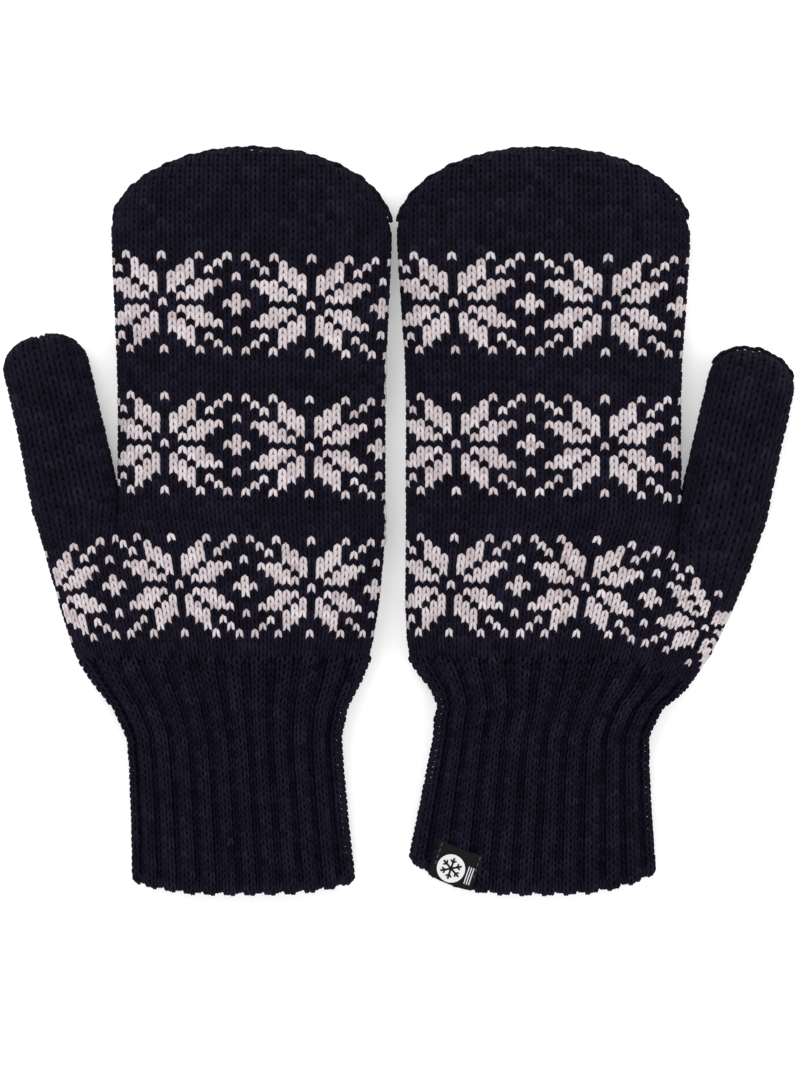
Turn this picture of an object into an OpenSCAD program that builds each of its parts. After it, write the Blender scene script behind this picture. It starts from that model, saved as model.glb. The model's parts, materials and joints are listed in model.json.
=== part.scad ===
// A pair of two-colour knitted mittens, lying flat with the fingertips towards +Y.
// The left mitten lies on the -X side and the right one on the +X side, thumbs outwards.
// Lengths follow the knitting: each run of rows is a row count times the row pitch.
// Pairs of values in square brackets are [left mitten, right mitten].

/* [Knitting] */
// Height of one knitted row
row_pitch = 2.51; // [1.8:0.01:3.2]
// Rows of ribbing in the cuff
rib_rows = 35; // [20:1:50]
// Plain rows between the cuff and the lowest patterned band
yoke_rows = 3; // [1:1:8]
// Rows in one patterned band
band_rows = 15; // [9:1:17]
// Plain rows between two patterned bands
plain_rows = 6; // [3:1:9]
// Rows from the top band to the fingertip edge
tip_rows = 16; // [14:1:24]
// Ribs around one cuff
rib_count = 24; // [18:1:30]
// Thickness of the knitted wall of the hand and thumb
wall = 3; // [2:0.1:4]
// Thickness of the ribbed cuff wall at a rib
cuff_wall = 3.6; // [2.6:0.1:4.6]
// Depth of the grooves between ribs
rib_depth = 1.2; // [0.4:0.1:1.6]
// Thickness of the contrast yarn floats on the inside of a band
float_thickness = 0.8; // [0.4:0.1:1.2]
// Radius of a linked seam
seam_radius = 0.95; // [0.6:0.05:1.4]

/* [Hand] */
// Flat width of the hand at the thumb crotch
hand_width = [100, 102.8]; // [86:0.1:122]
// Flat width of the hand just below the rounded tip
shoulder_width = [104.6, 109.4]; // [90:0.1:128]
// Length of the rounded fingertip end
tip_height = 31; // [22:0.5:38]
// Height of the hand above the surface that it lies on
hand_thickness = 22; // [16:0.5:28]
// Height of the fingertip edge itself
tip_thickness = 8; // [7.5:0.5:12]
// Gap between the two mittens where they come nearest
pair_gap = 2.8; // [1:0.1:60]

/* [Palm and cuff] */
// Flat width of the palm at the top of the ribbing
palm_width = [109.7, 112.5]; // [96:0.1:128]
// Sideways shift of the palm there, towards the thumb
palm_shift = [10.7, 6]; // [0:0.1:14]
// Flat width of the cuff at its narrowest
wrist_width = [79.6, 80.2]; // [66:0.1:96]
// Sideways shift of the cuff there, towards the thumb
wrist_shift = [6.6, -0.8]; // [-6:0.1:10]
// Height of the narrowest place above the hem
wrist_height = 57; // [40:1:66]
// Where the cuff starts to widen, as a share of the way from the narrowest place to the palm
neck_place = 0.36; // [0.2:0.02:0.6]
// Flat width of the cuff there
neck_width = [86.4, 83.2]; // [66:0.1:100]
// Sideways shift of the cuff there, towards the thumb
neck_shift = [8, 1.9]; // [-6:0.1:12]
// Flat width of the cuff at the hem
hem_width = [82.4, 91.8]; // [70:0.1:106]
// Sideways shift of the hem, towards the thumb
hem_shift = [3.1, -4]; // [-8:0.1:8]
// How far the hem's corner curls up on the little finger's side
hem_rise_little = [4, 12]; // [0:0.5:14]
// How far the hem's corner curls up on the thumb's side
hem_rise_thumb = [4, 7]; // [0:0.5:14]
// Height of the cuff at the hem
hem_thickness = 20; // [15:0.5:26]
// Height of the knitted-on edge along the hem
hem_height = 3; // [2:0.1:5]

/* [Thumb] */
// Lean of the thumb away from the hand, in degrees
thumb_angle = [13.4, 13.4]; // [6:0.1:22]
// Flat width of the thumb
thumb_width = [31, 31.4]; // [24:0.1:38]
// Extra width where the thumb joins the palm
thumb_flare = 1.6; // [0:0.1:4]
// Length of the thumb from its join to its tip, seam included
thumb_length = [65, 62]; // [45:0.5:80]
// Length of the thumb's rounded end
thumb_tip_height = 11; // [8:0.5:16]
// Height of the thumb above the surface that it lies on
thumb_thickness = 19; // [14:0.5:24]

/* [Label] */
// Width of the folded label
label_width = 17; // [10:0.5:24]
// Length of each leaf of the folded label
label_length = 13; // [8:0.5:20]
// Thickness of the label tape
label_thickness = 0.6; // [0.4:0.1:1]
// Distance from the hem's corner on the little finger's side to the label
label_inset = 6.9; // [3:0.1:20]
// Tilt of the label, along the curled hem, in degrees
label_tilt = 19; // [0:1:26]

/* [Hidden] */
LEFT = 0;
RIGHT = 1;

// Clearances: between two pieces that hinge on each other, and between two that are sewn together
hinge_gap = 0.4;
sewn_gap = 0.1;

// Heights above the hem, worked out from the rows
rib_top = rib_rows * row_pitch;
neck_height = wrist_height + neck_place * (rib_top - wrist_height);
lower_band_low = rib_top + yoke_rows * row_pitch;
lower_band_high = lower_band_low + band_rows * row_pitch;
crotch = lower_band_high + plain_rows * row_pitch;
middle_band_high = crotch + band_rows * row_pitch;
upper_band_low = middle_band_high + plain_rows * row_pitch;
upper_band_high = upper_band_low + band_rows * row_pitch;
shell_top = upper_band_high + tip_rows * row_pitch;
tip_low = shell_top - tip_height;
seam_stand = seam_radius + sewn_gap;
mitten_length = shell_top + seam_stand + seam_radius;

// Shape of every flattened tube: where its side edge sits and how full it is above and below
edge_height = 0.45;
crown_power = 2.4;
base_power = 5;
base_flatness = 1.06;

// Points around each kind of tube
hand_sides = 32;
thumb_sides = 24;
cuff_sides = 2 * rib_count;
seam_sides = 8;

// Stations along the pieces
tip_angles = [0, 16, 32, 46, 58, 69, 78, 85];
cuff_stations = [0, 0.25, 0.5, 0.65, 0.78, 0.9, 1];
palm_steps = 3;

navy = [0.09, 0.09, 0.19];
navy_rib = [0.08, 0.08, 0.17];
seam_navy = [0.13, 0.13, 0.25];
cream = [0.88, 0.8, 0.77];
label_black = [0.05, 0.05, 0.06];
label_thread = [0.85, 0.85, 0.87];

// ---- Curves ----

function mix(a, b, t) = a + (b - a) * t;
function clamp01(t) = min(1, max(0, t));
function ease(t) = let(c = clamp01(t)) c * c * (3 - 2 * c);
function signed_power(c, p) = sign(c) * pow(abs(c), p);

// Smooth curve through a list of [position, value], read at position y
function slope_at(pts, i) =
    let(lo = max(0, i - 1), hi = min(len(pts) - 1, i + 1))
    (pts[hi][1] - pts[lo][1]) / (pts[hi][0] - pts[lo][0]);
function span_of(pts, y, i = 0) =
    i >= len(pts) - 2 || y < pts[i + 1][0] ? i : span_of(pts, y, i + 1);
function curve_at(pts, y) =
    let(i = span_of(pts, y),
        h = pts[i + 1][0] - pts[i][0],
        t = (y - pts[i][0]) / h,
        t2 = t * t,
        t3 = t2 * t)
    (2 * t3 - 3 * t2 + 1) * pts[i][1] + (t3 - 2 * t2 + t) * h * slope_at(pts, i)
    + (3 * t2 - 2 * t3) * pts[i + 1][1] + (t3 - t2) * h * slope_at(pts, i + 1);

// ---- Cross-section of a flattened tube ----

// Point i of n around the section: sideways from -1 to 1, and height from 0 to 1
function section(i, n) =
    let(c = cos(360 * i / n),
        s = sin(360 * i / n),
        p = s >= 0 ? crown_power : base_power)
    [signed_power(c, 2 / p),
     s >= 0 ? edge_height + (1 - edge_height) * pow(s, 2 / p)
            : edge_height * (1 - min(1, base_flatness * pow(-s, 2 / p)))];

// Height of the tube's top, as a share of its thickness, at a sideways place from -1 to 1
function crown(s) =
    edge_height + (1 - edge_height) * pow(max(0, 1 - pow(abs(s), crown_power)), 1 / crown_power);

// One ring between two edges at row height y, inset from the outer surface
function flat_ring(edges, y, thickness, inset, n) =
    let(centre = (edges[0] + edges[1]) / 2,
        reach = (edges[1] - edges[0]) / 2 - inset)
    [for (i = [0:n - 1])
        let(q = section(i, n))
        [centre + reach * q[0], y, inset + (thickness - 2 * inset) * q[1]]];

// ---- Outline of a mitten: x runs from the hand's centre line towards the thumb ----

function hand_half(m, y) =
    mix(hand_width[m], shoulder_width[m], ease((y - middle_band_high) / (tip_low - middle_band_high))) / 2;
function thumb_across(m) = [cos(thumb_angle[m]), -sin(thumb_angle[m])];
function thumb_along(m) = [sin(thumb_angle[m]), cos(thumb_angle[m])];
function thumb_start(m) = [hand_width[m] / 2, crotch];
function thumb_corner(m) = thumb_start(m) + (hinge_gap + thumb_width[m] + thumb_flare) * thumb_across(m);

function edge_little(m, y) =
    curve_at([[0, hem_shift[m] - hem_width[m] / 2],
              [wrist_height, wrist_shift[m] - wrist_width[m] / 2],
              [neck_height, neck_shift[m] - neck_width[m] / 2],
              [rib_top, palm_shift[m] - palm_width[m] / 2],
              [lower_band_high, -hand_width[m] / 2],
              [crotch, -hand_width[m] / 2]], y);
function edge_thumb(m, y) =
    curve_at([[0, hem_shift[m] + hem_width[m] / 2],
              [wrist_height, wrist_shift[m] + wrist_width[m] / 2],
              [neck_height, neck_shift[m] + neck_width[m] / 2],
              [rib_top, palm_shift[m] + palm_width[m] / 2],
              thumb_corner_row(m)], y);
function thumb_corner_row(m) = [thumb_corner(m)[1], thumb_corner(m)[0]];
function cuff_edges(m, y) = [edge_little(m, y), edge_thumb(m, y)];

function cuff_thickness(y) = mix(hem_thickness, hand_thickness, ease(y / rib_top));

// Upward curl of the hem at sideways place s, fading out at the wrist, and the row that has
// curled up to height y there
function hem_lift(m, s) = (s < 0 ? hem_rise_little[m] : hem_rise_thumb[m]) * pow(abs(s), 3);
function hem_curl(m, s, y) = hem_lift(m, s) * (1 - clamp01(y / wrist_height));
function curled_row(m, s, y) = max(0, (y - hem_lift(m, s)) / (1 - hem_lift(m, s) / wrist_height));

// ---- Skins ----

// Closed surface over a run of rings; a loop joins the last ring to the first. The ends are
// closed with one flat face each, or, on a thin strip, with a row of faces from edge to edge.
module skin(rings, loop = false, strip = false) {
    n = len(rings[0]);
    m = len(rings);
    points = [for (ring = rings) for (p = ring) p];
    sides = [for (k = [0:m - (loop ? 1 : 2)])
             for (i = [0:n - 1])
             let(j = (i + 1) % n,
                 a = k * n,
                 b = ((k + 1) % m) * n)
             each [[a + i, a + j, b + j], [a + i, b + j, b + i]]];
    last = (m - 1) * n;
    flat_caps = [[for (i = [n - 1:-1:0]) i], [for (i = [0:n - 1]) last + i]];
    strip_caps = [for (i = [0:n / 2 - 2])
                  each [[n - 1 - i, n - 2 - i, i + 1], [n - 1 - i, i + 1, i],
                        [last + i, last + i + 1, last + n - 2 - i],
                        [last + i, last + n - 2 - i, last + n - 1 - i]]];
    caps = strip ? strip_caps : flat_caps;
    polyhedron(points = points, faces = loop ? sides : concat(sides, caps), convexity = 8);
}

function reversed(list) = [for (i = [len(list) - 1:-1:0]) list[i]];

// Tube wall between an outer and an inner run of rings
module tube_wall(outer, inner) {
    skin(concat(outer, reversed(inner)), loop = true);
}

// Pocket with a closed far end between an outer and an inner run of rings
module pocket_wall(outer, inner) {
    skin(concat(reversed(inner), outer));
}

// Round seam along a path of [x, y, z] points that runs roughly in the plane of the mitten
module seam_line(path, radius) {
    last = len(path) - 1;
    rings = [for (k = [0:last])
        let(ahead = path[min(last, k + 1)] - path[max(0, k - 1)],
            along = ahead / norm(ahead),
            side = cross(along, [0, 0, 1]),
            across = side / norm(side),
            up = cross(across, along))
        [for (i = [0:seam_sides - 1])
            path[k] + radius * (across * cos(360 * i / seam_sides) + up * sin(360 * i / seam_sides))]];
    skin(reversed(rings));
}

// ---- Placing ----

// How far a mitten reaches from its centre line on the little finger's side, at its widest
function little_reach(m) =
    max(hand_width[m] / 2, shoulder_width[m] / 2,
        palm_width[m] / 2 - palm_shift[m], hem_width[m] / 2 - hem_shift[m]);
pair_spacing = little_reach(LEFT) + little_reach(RIGHT) + pair_gap;

// How far a thumb reaches from its hand's centre line; the pair is centred between the two
function thumb_reach(m) = thumb_point(m, hinge_gap + thumb_width[m], thumb_tip_low(m))[0];
pair_shift = (thumb_reach(LEFT) - thumb_reach(RIGHT)) / 2;

// Puts a mitten, drawn with its thumb towards +X and its hem at y = 0, in its place in the pair
module place(m) {
    translate([(m == LEFT ? -0.5 : 0.5) * pair_spacing + pair_shift, -mitten_length / 2, 0])
        mirror([m == LEFT ? 1 : 0, 0, 0])
            children();
}

// ---- Fingers ----

function finger_ring(m, y, inset) =
    flat_ring([-hand_half(m, y), hand_half(m, y)], y, hand_thickness, inset, hand_sides);
function tip_half(m, angle, inset) = (hand_half(m, tip_low) - inset) * cos(angle);
function tip_ring_thickness(angle) = mix(tip_thickness, hand_thickness, cos(angle));
function tip_ring(m, angle, inset) =
    flat_ring([-tip_half(m, angle, inset) - inset, tip_half(m, angle, inset) + inset],
              tip_low + (tip_height - inset) * sin(angle),
              tip_ring_thickness(angle), inset, hand_sides);
function finger_rings(m, inset) =
    concat([for (y = [crotch + hinge_gap / 2, middle_band_high, upper_band_low, upper_band_high])
               finger_ring(m, y, inset)],
           [for (angle = tip_angles) tip_ring(m, angle, inset)]);

module fingers(m) {
    color(navy)
        pocket_wall(finger_rings(m, 0), finger_rings(m, wall));
}

// Linked seam that closes the fingertip, along the rounded edge
module tip_seam(m) {
    path = [for (angle = [18:8:162])
        [(hand_half(m, tip_low) + seam_stand) * cos(angle),
         tip_low + (tip_height + seam_stand) * sin(angle),
         edge_height * tip_ring_thickness(angle < 90 ? angle : 180 - angle)]];
    color(seam_navy)
        seam_line(path, seam_radius);
}

// ---- Inner pieces ----

// Contrast yarn floats of one band inside the hand, between two rows
float_inset = wall + sewn_gap;
module hand_floats(m, low, high) {
    color(cream)
        tube_wall([for (y = [low, high]) finger_ring(m, y, float_inset)],
                  [for (y = [low, high]) finger_ring(m, y, float_inset + float_thickness)]);
}

// How much further in a seam lies where the little finger's edge slopes past it
function edge_slant(m, y) =
    let(slope = (edge_little(m, y + 1) - edge_little(m, y - 1)) / 2)
    norm([1, slope]);

// Inside seam down the little finger's edge, lying on the floats
wall_stand = float_inset + float_thickness;
module side_seam(path_points) {
    color(seam_navy)
        seam_line(path_points, seam_radius);
}
function hand_seam_point(m, y) =
    [-hand_half(m, y) + wall_stand + seam_stand, y, edge_height * hand_thickness];

// ---- Palm ----

// Rows of the palm: t is 0 at the ribbing and 1 at the thumb join, where a row drops
// from the crotch along the thumb's base
function palm_left_y(t) = mix(rib_top, crotch, t);
function palm_right_y(m, t) = mix(rib_top, thumb_corner(m)[1], t);
function palm_kink(m) = hand_width[m] / 2;
function palm_y(m, t, x) =
    let(outer = edge_thumb(m, palm_right_y(m, t)),
        share = clamp01((x - palm_kink(m)) / max(1, outer - palm_kink(m))))
    mix(palm_left_y(t), palm_right_y(m, t), share);
function palm_ring(m, t, inset) =
    let(edges = [edge_little(m, palm_left_y(t)), edge_thumb(m, palm_right_y(m, t))])
    [for (p = flat_ring(edges, 0, hand_thickness, inset, hand_sides))
        [p[0], palm_y(m, t, p[0]), p[2]]];

palm_low_t = (lower_band_low - rib_top) / (crotch - rib_top);
palm_high_t = (lower_band_high - rib_top) / (crotch - rib_top);
palm_band = [for (k = [0:palm_steps]) mix(palm_low_t, palm_high_t, k / palm_steps)];
palm_stations = concat([hinge_gap / 2 / (crotch - rib_top)], palm_band,
                       [mix(palm_high_t, 1, 0.5), 1 - hinge_gap / 2 / (crotch - rib_top)]);

module palm(m) {
    color(navy)
        tube_wall([for (t = palm_stations) palm_ring(m, t, 0)],
                  [for (t = palm_stations) palm_ring(m, t, wall)]);
}

module palm_floats(m) {
    color(cream)
        tube_wall([for (t = palm_band) palm_ring(m, t, float_inset)],
                  [for (t = palm_band) palm_ring(m, t, float_inset + float_thickness)]);
}

function palm_seam_point(m, t) =
    let(y = palm_left_y(t))
    [edge_little(m, y) + wall_stand + seam_stand * edge_slant(m, y), y, edge_height * hand_thickness];

// ---- Thumb: w runs across it from the hand, d along it from the palm ----

function thumb_point(m, w, d) = thumb_start(m) + w * thumb_across(m) + d * thumb_along(m);
function to_thumb(m, ring) = [for (p = ring) concat(thumb_point(m, p[0], p[1]), p[2])];
function thumb_top(m) = thumb_length[m] - seam_stand - seam_radius;
function thumb_tip_low(m) = thumb_top(m) - thumb_tip_height;
function thumb_edges(m, d) =
    let(extra = thumb_flare * (1 - ease(d / (thumb_length[m] / 2))))
    [hinge_gap, hinge_gap + thumb_width[m] + extra];
function thumb_ring(m, d, inset) =
    to_thumb(m, flat_ring(thumb_edges(m, d), d, thumb_thickness, inset, thumb_sides));
thumb_end_thickness = tip_thickness;
function thumb_end_ring(m, angle, inset) =
    let(centre = hinge_gap + thumb_width[m] / 2,
        reach = (thumb_width[m] / 2 - inset) * cos(angle) + inset)
    to_thumb(m, flat_ring([centre - reach, centre + reach],
                          thumb_tip_low(m) + (thumb_tip_height - inset) * sin(angle),
                          mix(thumb_end_thickness, thumb_thickness, cos(angle)), inset, thumb_sides));
function thumb_rings(m, inset) =
    concat([for (d = [hinge_gap / 2, 0.25 * thumb_length[m], 0.5 * thumb_length[m]]) thumb_ring(m, d, inset)],
           [for (angle = tip_angles) thumb_end_ring(m, angle, inset)]);

module thumb(m) {
    color(navy)
        pocket_wall(thumb_rings(m, 0), thumb_rings(m, wall));
}

module thumb_tip_seam(m) {
    centre = hinge_gap + thumb_width[m] / 2;
    path = [for (angle = [30:12:150])
        let(p = thumb_point(m, centre + (thumb_width[m] / 2 + seam_stand) * cos(angle),
                            thumb_tip_low(m) + (thumb_tip_height + seam_stand) * sin(angle)))
        concat(p, edge_height * mix(thumb_end_thickness, thumb_thickness, sin(abs(angle - 90))))];
    color(seam_navy)
        seam_line(path, seam_radius);
}

// Picked-up edge inside the thumb where it joins the palm
thumb_join_length = 4;
module thumb_join(m) {
    run = [hinge_gap / 2, thumb_join_length];
    join_inset = float_inset + sewn_gap;
    color(seam_navy)
        tube_wall([for (d = run) thumb_ring(m, d, join_inset)],
                  [for (d = run) thumb_ring(m, d, join_inset + float_thickness)]);
}

// ---- Cuff ----

// Ring at row height y: ridges lie on the outer surface, grooves below it; the row curls up with
// the hem, and at the hem each ridge reaches a little further down than the groove beside it
function cuff_ring(m, y, inset, groove, scallop = 0) =
    let(edges = cuff_edges(m, y),
        thickness = cuff_thickness(y),
        centre = (edges[0] + edges[1]) / 2)
    [for (i = [0:cuff_sides - 1])
        let(q = section(i, cuff_sides),
            deep = inset + (i % 2) * groove,
            reach = (edges[1] - edges[0]) / 2 - deep)
        [centre + reach * q[0],
         y + hem_curl(m, q[0], y) + (i % 2) * scallop,
         deep + (thickness - 2 * deep) * q[1]]];

cuff_seam_slack = 0.2;
cuff_low = hem_height + sewn_gap;
cuff_high = rib_top - hinge_gap / 2;
cuff_rows = [for (t = cuff_stations) mix(cuff_low, cuff_high, t)];

module cuff(m) {
    color(navy_rib)
        tube_wall([for (y = cuff_rows) cuff_ring(m, y, 0, rib_depth)],
                  [for (y = cuff_rows) cuff_ring(m, y, cuff_wall, 0)]);
}

// Knitted-on edge of the hem, scalloped by the ribs
module cuff_hem(m) {
    color(seam_navy)
        tube_wall([cuff_ring(m, 0, 0, rib_depth, rib_depth), cuff_ring(m, hem_height, 0, rib_depth)],
                  [cuff_ring(m, 0, cuff_wall, 0, rib_depth), cuff_ring(m, hem_height, cuff_wall, 0)]);
}

function cuff_seam_point(m, t) =
    let(y = mix(cuff_low, cuff_high, t),
        stand = cuff_wall + cuff_seam_slack + seam_stand * edge_slant(m, y))
    [edge_little(m, y) + stand, y + hem_curl(m, -1, y), edge_height * cuff_thickness(y)];

// ---- Label: a tape folded over the hem of the right cuff ----

label_steps = 10;
label_clearance = 0.4;
function label_across() = [cos(label_tilt), -sin(label_tilt)];
function label_up() = [sin(label_tilt), cos(label_tilt)];

// Sideways place, from -1 to 1, of a distance x from the centre line in a row of the cuff
function cuff_share(m, x, y, inset = 0) =
    let(edges = cuff_edges(m, y))
    (x - (edges[0] + edges[1]) / 2) / ((edges[1] - edges[0]) / 2 - inset);

// Height of the cuff's top wall, outside or inset, over a place in the plan
function cuff_top(m, x, y, inset) =
    let(row = curled_row(m, cuff_share(m, x, y), y),
        thickness = cuff_thickness(row))
    inset + (thickness - 2 * inset) * crown(cuff_share(m, x, row, inset));

// Where the hem lies under the label, a share k of the way across it
function label_foot(m, k) =
    let(x = cuff_edges(m, 0)[0] + label_inset + k * label_width * label_across()[0])
    [x, hem_lift(m, cuff_share(m, x, 0))];

// Profile of the folded tape: outer leaf down, round the hem, inner leaf up, and back
function label_leaf_point(m, k, up, inset, lift) =
    let(p = label_foot(m, k) + up * label_up())
    [p[0], p[1], cuff_top(m, p[0], max(0, p[1]), inset) + lift];
function label_profile(m, k) =
    let(near = label_clearance, far = label_clearance + label_thickness)
    [label_leaf_point(m, k, label_length, 0, near),
     label_leaf_point(m, k, label_length / 2, 0, near),
     label_leaf_point(m, k, -near, 0, near),
     label_leaf_point(m, k, -near, cuff_wall, -near),
     label_leaf_point(m, k, label_length / 2, cuff_wall, -near),
     label_leaf_point(m, k, label_length, cuff_wall, -near),
     label_leaf_point(m, k, label_length, cuff_wall, -far),
     label_leaf_point(m, k, label_length / 2, cuff_wall, -far),
     label_leaf_point(m, k, -far, cuff_wall, -far),
     label_leaf_point(m, k, -far, 0, far),
     label_leaf_point(m, k, label_length / 2, 0, far),
     label_leaf_point(m, k, label_length, 0, far)];

module label(m) {
    color(label_black)
        skin([for (k = [0:label_steps]) label_profile(m, k / label_steps)], strip = true);
}

// Short stitches along the label's two side edges, lying on the outer leaf
stitch_radius = 0.2;
stitches_per_edge = 4;
module label_stitches(m) {
    color(label_thread)
        for (k = [0.06, 0.94], j = [0:stitches_per_edge - 1]) {
            low = label_length * (0.3 + 0.18 * j);
            high = low + label_length * 0.1;
            lift = label_clearance + label_thickness + sewn_gap + stitch_radius;
            seam_line([label_leaf_point(m, k, low, 0, lift), label_leaf_point(m, k, high, 0, lift)],
                      stitch_radius);
        }
}

// ---- Nodes ----

module left_fingers() { place(LEFT) fingers(LEFT); }
module left_tip_seam() { place(LEFT) tip_seam(LEFT); }
module left_finger_side_seam() { place(LEFT) finger_side_seam(LEFT); }
module left_yarn_upper() { place(LEFT) hand_floats(LEFT, upper_band_low, upper_band_high); }
module left_yarn_middle() { place(LEFT) hand_floats(LEFT, crotch + hinge_gap / 2, middle_band_high); }
module left_palm() { place(LEFT) palm(LEFT); }
module left_palm_side_seam() { place(LEFT) palm_side_seam(LEFT); }
module left_yarn_lower() { place(LEFT) palm_floats(LEFT); }
module left_thumb() { place(LEFT) thumb(LEFT); }
module left_thumb_tip_seam() { place(LEFT) thumb_tip_seam(LEFT); }
module left_thumb_join() { place(LEFT) thumb_join(LEFT); }
module left_cuff() { place(LEFT) cuff(LEFT); }
module left_cuff_hem() { place(LEFT) cuff_hem(LEFT); }
module left_cuff_side_seam() { place(LEFT) cuff_side_seam(LEFT); }

module right_fingers() { place(RIGHT) fingers(RIGHT); }
module right_tip_seam() { place(RIGHT) tip_seam(RIGHT); }
module right_finger_side_seam() { place(RIGHT) finger_side_seam(RIGHT); }
module right_yarn_upper() { place(RIGHT) hand_floats(RIGHT, upper_band_low, upper_band_high); }
module right_yarn_middle() { place(RIGHT) hand_floats(RIGHT, crotch + hinge_gap / 2, middle_band_high); }
module right_palm() { place(RIGHT) palm(RIGHT); }
module right_palm_side_seam() { place(RIGHT) palm_side_seam(RIGHT); }
module right_yarn_lower() { place(RIGHT) palm_floats(RIGHT); }
module right_thumb() { place(RIGHT) thumb(RIGHT); }
module right_thumb_tip_seam() { place(RIGHT) thumb_tip_seam(RIGHT); }
module right_thumb_join() { place(RIGHT) thumb_join(RIGHT); }
module right_cuff() { place(RIGHT) cuff(RIGHT); }
module right_cuff_hem() { place(RIGHT) cuff_hem(RIGHT); }
module right_cuff_side_seam() { place(RIGHT) cuff_side_seam(RIGHT); }
module right_label() { place(RIGHT) label(RIGHT); }
module right_label_stitches() { place(RIGHT) label_stitches(RIGHT); }

module finger_side_seam(m) {
    side_seam([for (y = [crotch + hinge_gap / 2, middle_band_high, upper_band_low, upper_band_high])
                   hand_seam_point(m, y)]);
}
module palm_side_seam(m) {
    side_seam([for (t = palm_stations) palm_seam_point(m, t)]);
}
module cuff_side_seam(m) {
    side_seam([for (t = cuff_stations) cuff_seam_point(m, t)]);
}

left_fingers();
left_tip_seam();
left_finger_side_seam();
left_yarn_upper();
left_yarn_middle();
left_palm();
left_palm_side_seam();
left_yarn_lower();
left_thumb();
left_thumb_tip_seam();
left_thumb_join();
left_cuff();
left_cuff_hem();
left_cuff_side_seam();
right_fingers();
right_tip_seam();
right_finger_side_seam();
right_yarn_upper();
right_yarn_middle();
right_palm();
right_palm_side_seam();
right_yarn_lower();
right_thumb();
right_thumb_tip_seam();
right_thumb_join();
right_cuff();
right_cuff_hem();
right_cuff_side_seam();
right_label();
right_label_stitches();
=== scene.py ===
"""A pair of two-colour knitted mittens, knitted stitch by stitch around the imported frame.

Every mitten is worked in its own coordinates, in metres: x from the hand's centre line towards
the thumb, y up from the hem and z out of the table. Columns of stitches are counted from the
thumb's edge of the hand: 0 to 32 over the front, 32 to 64 over the back, and the thumb's own
columns lie below 0 and above 64.
"""
import json
import math

import bmesh
import bpy
import numpy as np
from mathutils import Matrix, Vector
from mathutils.bvhtree import BVHTree


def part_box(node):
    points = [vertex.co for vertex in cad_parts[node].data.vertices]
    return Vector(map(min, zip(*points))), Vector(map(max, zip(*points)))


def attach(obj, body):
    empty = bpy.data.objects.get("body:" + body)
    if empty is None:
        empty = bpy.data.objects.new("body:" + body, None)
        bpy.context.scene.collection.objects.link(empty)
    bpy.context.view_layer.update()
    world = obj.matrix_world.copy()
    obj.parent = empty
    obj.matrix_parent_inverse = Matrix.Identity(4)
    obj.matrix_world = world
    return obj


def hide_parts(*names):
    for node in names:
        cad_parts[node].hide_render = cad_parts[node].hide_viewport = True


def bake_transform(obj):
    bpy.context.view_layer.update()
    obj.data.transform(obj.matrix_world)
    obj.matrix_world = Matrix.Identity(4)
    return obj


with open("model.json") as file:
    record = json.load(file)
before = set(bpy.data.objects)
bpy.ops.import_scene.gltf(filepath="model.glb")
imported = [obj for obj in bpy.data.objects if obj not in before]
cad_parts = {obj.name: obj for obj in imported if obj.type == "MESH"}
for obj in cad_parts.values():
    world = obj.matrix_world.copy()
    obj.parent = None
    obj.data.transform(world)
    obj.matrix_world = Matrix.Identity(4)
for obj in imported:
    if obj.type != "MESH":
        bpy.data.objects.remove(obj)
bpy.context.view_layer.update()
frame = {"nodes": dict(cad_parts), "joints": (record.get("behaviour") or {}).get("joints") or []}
joints = {joint["name"]: joint for joint in frame["joints"]}

MM = 0.001

# Counts of columns and rows
HAND_COLUMNS = 32
HAND_ROUND = 2 * HAND_COLUMNS
THUMB_COLUMNS = 10
PALM_COLUMNS = HAND_COLUMNS + THUMB_COLUMNS
RIBS = 12
BAND_ROWS = 15
PLAIN_ROWS = 6
YOKE_ROWS = 3
PALM_ROWS = YOKE_ROWS + BAND_ROWS + PLAIN_ROWS
TUBE_ROWS = 2 * BAND_ROWS + PLAIN_ROWS
TIP_ROWS = 17
RIB_ROWS = 35
THUMB_ROWS = 23
THUMB_TUBE_ROWS = 17
COLUMN_PITCH = 3.39 * MM
ROW_PITCH = 2.51 * MM

# Depths below the surface: the stitches' middle, then the two sides of the wall behind them
YARN_DEPTH = 0.85 * MM
LINING_DEPTH = 1.5 * MM
WALL = 3 * MM
CUFF_LINING_DEPTH = 3.1 * MM
CUFF_WALL = 4.0 * MM

# The section of a flattened tube: the widest height as a share, and how square its halves are
EDGE_HEIGHT = 0.45
CROWN_POWER = 2.4
BASE_POWER = 5
BASE_FLATNESS = 1.06

# Lengths along the mitten
WRIST_HEIGHT = 57 * MM
SPLIT_LENGTH = 26 * MM
TIP_DOME = 31 * MM
THUMB_DOME = 11 * MM
FINGER_BEND = 46 * MM
CUFF_BEND = 44 * MM
THUMB_BEND = 36 * MM
HINGE_HEIGHT = 22 * MM

# Slack: the courses' slope in degrees, their drop towards the thumb as a share of the full drop,
# the palm's sideways sag over the cuff, and the puckers above the ribs
COURSE_TILT = {"left": 1.6, "right": 0.9}
DROOP = {"left": 0.12, "right": 1.0}
BLOUSE = {"left": 0, "right": 2.3 * MM}
PUCKER = 1.6 * MM

# The ribbing: the hem's wave, where the ridge stands in each rib, and the depths in mm of a
# ridge, of a groove and of a groove where the ribbing turns round the cuff's sides
SCALLOP = 0.4 * MM
RIDGE = 0.39
RIDGE_DEPTH = 0.6
GROOVE_DEPTH = 3.2
EDGE_GROOVE = 1.0

# Stitches that hang below the table are pressed into this depth
PRESS = 0.38 * MM

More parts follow.
